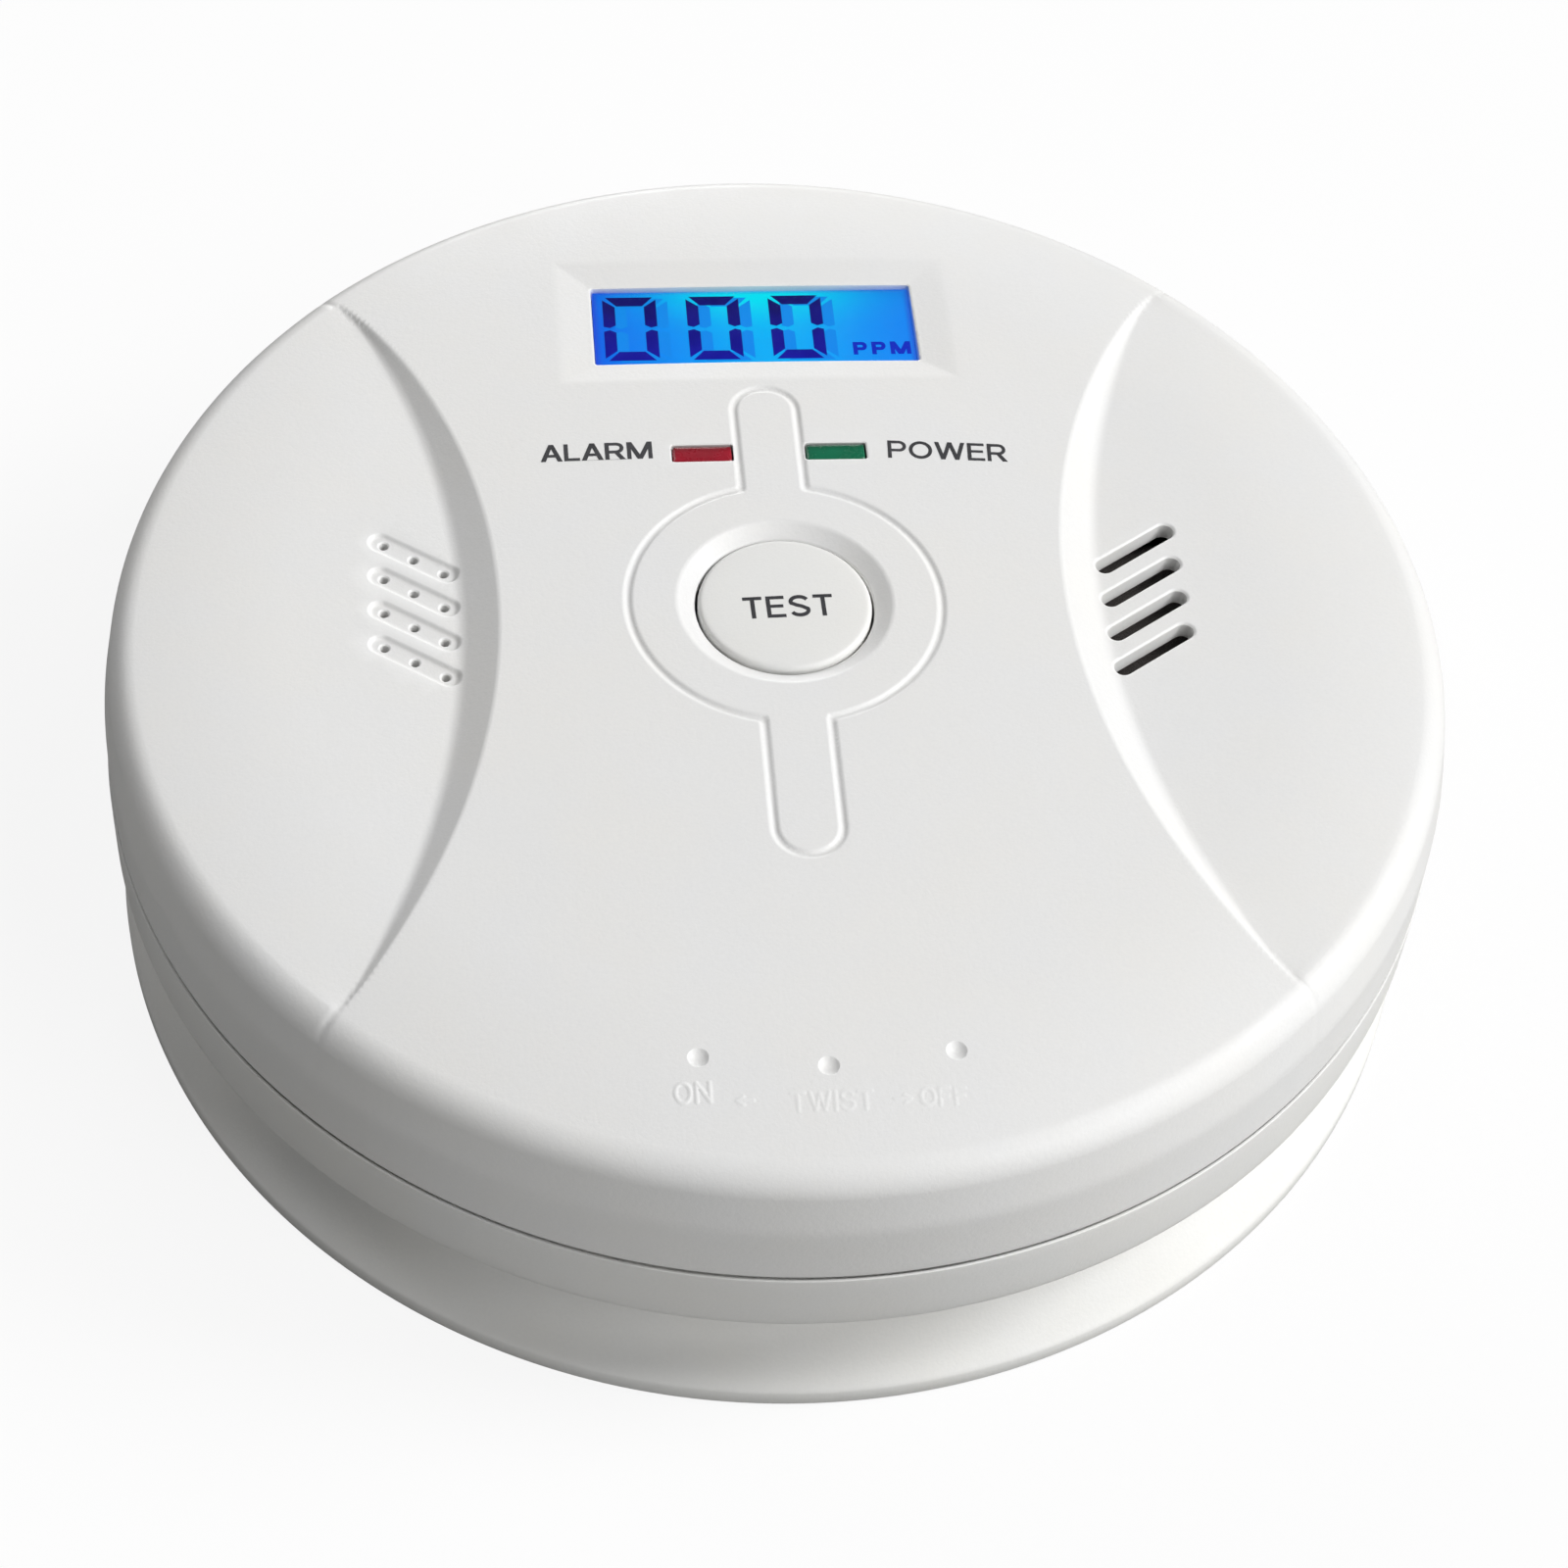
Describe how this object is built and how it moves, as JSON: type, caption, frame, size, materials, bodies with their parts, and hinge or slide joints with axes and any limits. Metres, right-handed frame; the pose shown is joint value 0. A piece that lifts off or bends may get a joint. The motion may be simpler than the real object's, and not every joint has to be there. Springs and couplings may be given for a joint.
{
  "type": "carbon monoxide alarm",
  "caption": "Round white wall-mounted carbon monoxide alarm with lit display, lamp bars and press-to-test button, on a twist-off wall plate.",
  "frame": {"origin": "centre of the wall plate's flat back face, where it meets the wall", "axes": "+Z out of the wall towards the domed front, +Y towards the display at 12 o'clock, +X to the right seen from the front, on the vent-slot side"},
  "size_m": [0.1, 0.1, 0.0293],
  "materials": {
    "backlight_acrylic": "milky light guide",
    "black_plastic": "moulded black",
    "board_green": "solder mask over glass fibre",
    "brass": "thin rolled brass",
    "button_plastic": "fine texture, off-white ABS",
    "capacitor_sleeve": "shrink sleeve",
    "cell_sleeve": "metal can under a plain dark metallised sleeve",
    "ceramic": "fired piezo ceramic",
    "chip_black": "moulded epoxy",
    "coil_black": "ferrite and varnish",
    "contact_nickel": "nickel plated spring steel",
    "cover_plastic": "fine spark-eroded texture, off-white ABS",
    "crystal_can": "plated can",
    "display_blue": "back-lit blue liquid crystal cell",
    "display_glass": "rear glass of the display cell with its conductor pads",
    "felt": "dark felt",
    "frame_plastic": "natural moulded plastic",
    "header_white": "natural nylon",
    "lamp_green": "tinted epoxy, unlit",
    "lamp_red": "tinted epoxy, unlit",
    "plate_plastic": "fine spark-eroded texture, off-white ABS",
    "plunger_plastic": "moulded red",
    "rear_plastic": "fine spark-eroded texture, off-white ABS",
    "resistor_tan": "lacquer",
    "ribbon_grey": "PVC ribbon",
    "rubber_grey": "layered conductive rubber",
    "screw_steel": "zinc plated",
    "sensor_steel": "drawn stainless can",
    "wire_black": "PVC insulation",
    "wire_red": "PVC insulation"
  },
  "bodies": {
    "plate": {"wall_plate": "plate_plastic"},
    "detector": {"alarm_lamp": "lamp_red", "amplifier_chip": "chip_black", "backlight_guide": "backlight_acrylic", "battery_cell_1": "cell_sleeve", "battery_cell_2": "cell_sleeve", "battery_cell_3": "cell_sleeve", "board_screw_1": "screw_steel", "board_screw_2": "screw_steel", "board_screw_3": "screw_steel", "buzzer_ceramic": "ceramic", "buzzer_coil": "coil_black", "buzzer_disc": "brass", "buzzer_housing": "black_plastic", "buzzer_lead_black": "wire_black", "buzzer_lead_red": "wire_red", "capacitor_1": "capacitor_sleeve", "capacitor_2": "capacitor_sleeve", "capacitor_3": "capacitor_sleeve", "case_screw_1": "screw_steel", "case_screw_2": "screw_steel", "case_screw_3": "screw_steel", "case_screw_4": "screw_steel", "contact_bridge_high": "contact_nickel", "contact_bridge_low": "contact_nickel", "contact_negative": "contact_nickel", "contact_positive": "contact_nickel", "crystal": "crystal_can", "display_connector": "rubber_grey", "display_frame": "frame_plastic", "display_front_glass": "display_blue", "display_rear_glass": "display_glass", "dust_filter": "felt", "front_cover": "cover_plastic", "main_board": "board_green", "microcontroller": "chip_black", "power_lamp": "lamp_green", "rear_case": "rear_plastic", "resistor_1": "resistor_tan", "resistor_2": "resistor_tan", "resistor_3": "resistor_tan", "ribbon_header": "header_white", "sensor_base": "black_plastic", "sensor_board": "board_green", "sensor_can": "sensor_steel", "sensor_ribbon": "ribbon_grey", "switch_body": "black_plastic", "transistor": "chip_black"},
    "button": {"test_button": "button_plastic"},
    "plunger": {"switch_plunger": "plunger_plastic"}
  },
  "joints": [
    {"name": "detector_twist", "type": "hinge", "parent": "plate", "child": "detector", "pos_m": [0, 0, 0.006], "axis": [0, 0, 1], "range_deg": [0, 20]},
    {"name": "button_press", "type": "slide", "parent": "detector", "child": "button", "axis": [0, 0, -1], "range_m": [0, 0.0006], "stiffness_N_per_m": 80},
    {"name": "switch_press", "type": "slide", "parent": "detector", "child": "plunger", "axis": [0, 0, -1], "range_m": [0, 0.0003]}
  ],
  "couplings": [
    {"joint": "switch_press", "follows": "button_press", "ratio": 0.5}
  ]
}
